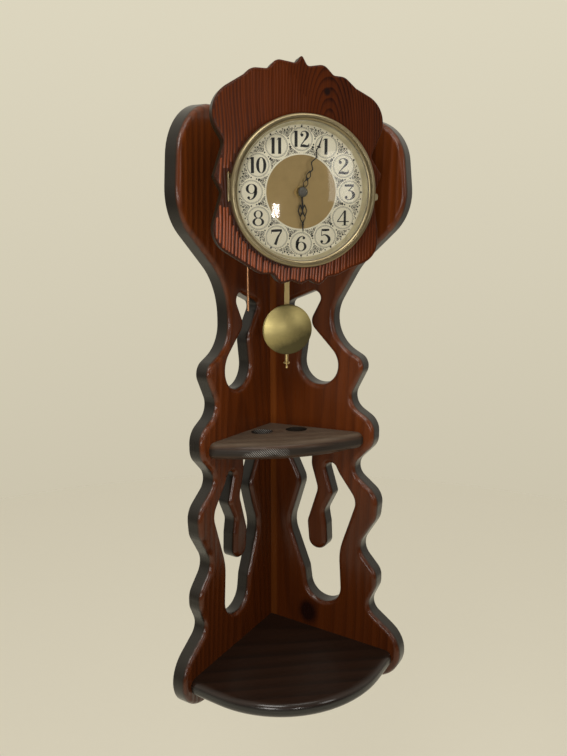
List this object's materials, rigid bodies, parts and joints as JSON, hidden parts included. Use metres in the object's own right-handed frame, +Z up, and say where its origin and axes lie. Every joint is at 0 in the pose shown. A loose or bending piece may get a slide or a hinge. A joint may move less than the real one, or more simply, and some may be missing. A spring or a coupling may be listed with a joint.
{
  "type": "corner wall clock",
  "caption": "Corner wall clock: two scroll-cut pine panels with shelves, a scalloped face board, a hinged glazed dial, a swinging pendulum and a struck chime rod.",
  "frame": {"origin": "on the room corner line where the backs of the two panels meet, at the height of the hanging screws", "axes": "+Z up, -Y out of the corner towards the viewer, +X to the viewer's right"},
  "size_m": [0.2956, 0.226, 0.7678],
  "materials": {
    "panel_pine": "red-brown stained and varnished knotty pine, darker edges",
    "board_pine": "red-brown stained pine with brushed raised grain",
    "shelf_pine": "dusty grey-brown varnished pine",
    "base_pine": "very dark brown varnished pine",
    "raw_wood": "plain unfinished pine and beech",
    "screw_steel": "zinc plated",
    "bezel_brass": "antique polished brass",
    "brass_fittings": "turned brass",
    "dial_glass": "clear domed glass",
    "gold_dial": "brushed gold",
    "cream_dial": "cream with printed numerals",
    "hand_black": "black",
    "nut_grey": "dark grey",
    "case_plastic": "black moulded",
    "gear_plastic": "ivory moulded",
    "circuit_green": "green laminate",
    "cell_jacket": "plain dark jacket",
    "spring_plate": "nickel plated",
    "coil_copper": "wound enamelled copper",
    "block_iron": "black cast",
    "rod_copper": "drawn, copper coloured",
    "strip_brass": "rolled brass",
    "bob_brass": "brushed brass",
    "hammer_brass": "turned brass"
  },
  "bodies": {
    "frame": {"left_panel": "panel_pine", "right_panel": "panel_pine", "corner_dowels": "raw_wood", "panel_screws": "screw_steel", "upper_shelf": "shelf_pine", "lower_shelf": "base_pine", "face_board": "board_pine", "left_cleat": "raw_wood", "right_cleat": "raw_wood", "board_dowels": "raw_wood", "dial_plate": "gold_dial", "chapter_ring": "cream_dial", "back_ring": "bezel_brass", "ring_screws": "brass_fittings", "hinge_pin": "brass_fittings", "case_front": "case_plastic", "case_back": "case_plastic", "case_screws": "screw_steel", "centre_bush": "brass_fittings", "bush_nut": "brass_fittings", "motion_stud": "screw_steel", "train_bridge": "gear_plastic", "step_motor": "case_plastic", "circuit_board": "circuit_green", "battery": "cell_jacket", "battery_contacts": "spring_plate", "pendulum_coil": "coil_copper", "pivot_pin": "screw_steel", "hammer_pin": "screw_steel", "chime_block": "block_iron", "chime_block_screws": "screw_steel", "chime_rod": "rod_copper"},
    "bezel": {"bezel_ring": "bezel_brass", "dial_glass": "dial_glass", "glass_keeper": "bezel_brass", "bezel_tab": "bezel_brass", "bezel_hinge_leaf": "bezel_brass"},
    "minute": {"minute_arbor": "brass_fittings", "minute_hand": "hand_black", "hand_nut": "nut_grey"},
    "hour": {"hour_wheel": "gear_plastic", "hour_hand": "hand_black"},
    "motion": {"motion_wheel": "gear_plastic"},
    "setter": {"set_knob": "gear_plastic"},
    "pendulum": {"pendulum_hanger": "case_plastic", "pendulum_magnet": "spring_plate", "pendulum_rod": "strip_brass", "rating_screw": "strip_brass"},
    "bob": {"bob_disc": "bob_brass", "bob_clip": "strip_brass"},
    "rating": {"rating_nut": "strip_brass"},
    "hammer": {"chime_hammer": "hammer_brass"}
  },
  "joints": [
    {"name": "bezel_door", "type": "hinge", "parent": "frame", "child": "bezel", "pos_m": [-0.076, -0.1779, -0.048], "axis": [0, 0, -1], "range_deg": [0, 92]},
    {"name": "minute_turn", "type": "hinge", "parent": "frame", "child": "minute", "pos_m": [0, -0.17, -0.053], "axis": [0, 1, 0], "continuous": true},
    {"name": "hour_turn", "type": "hinge", "parent": "frame", "child": "hour", "pos_m": [0, -0.17, -0.053], "axis": [0, 1, 0], "continuous": true},
    {"name": "motion_turn", "type": "hinge", "parent": "frame", "child": "motion", "pos_m": [0.016, -0.15, -0.053], "axis": [0, 1, 0], "continuous": true},
    {"name": "setter_turn", "type": "hinge", "parent": "frame", "child": "setter", "pos_m": [0.024, -0.15, -0.06686], "axis": [0, 1, 0], "continuous": true},
    {"name": "pendulum_swing", "type": "hinge", "parent": "frame", "child": "pendulum", "pos_m": [0, -0.114, -0.029], "axis": [0, 1, 0], "range_deg": [-4, 4]},
    {"name": "bob_slide", "type": "slide", "parent": "pendulum", "child": "bob", "axis": [0, 0, 1], "range_m": [-0.0028, 0.0028]},
    {"name": "rating_turn", "type": "hinge", "parent": "bob", "child": "rating", "pos_m": [0, -0.114, -0.245], "axis": [0, 0, 1], "range_deg": [-1500, 1500]},
    {"name": "hammer_swing", "type": "hinge", "parent": "frame", "child": "hammer", "pos_m": [-0.0387, -0.114, -0.026], "axis": [0, 1, 0], "range_deg": [-14, 1.8], "stiffness_Nm_per_rad": 0.003}
  ],
  "couplings": [
    {"joint": "hour_turn", "follows": "minute_turn", "ratio": 0.083333},
    {"joint": "motion_turn", "follows": "minute_turn", "ratio": -0.33333},
    {"joint": "setter_turn", "follows": "minute_turn", "ratio": 1},
    {"joint": "rating_turn", "follows": "bob_slide", "rad_per_m": 8976}
  ]
}
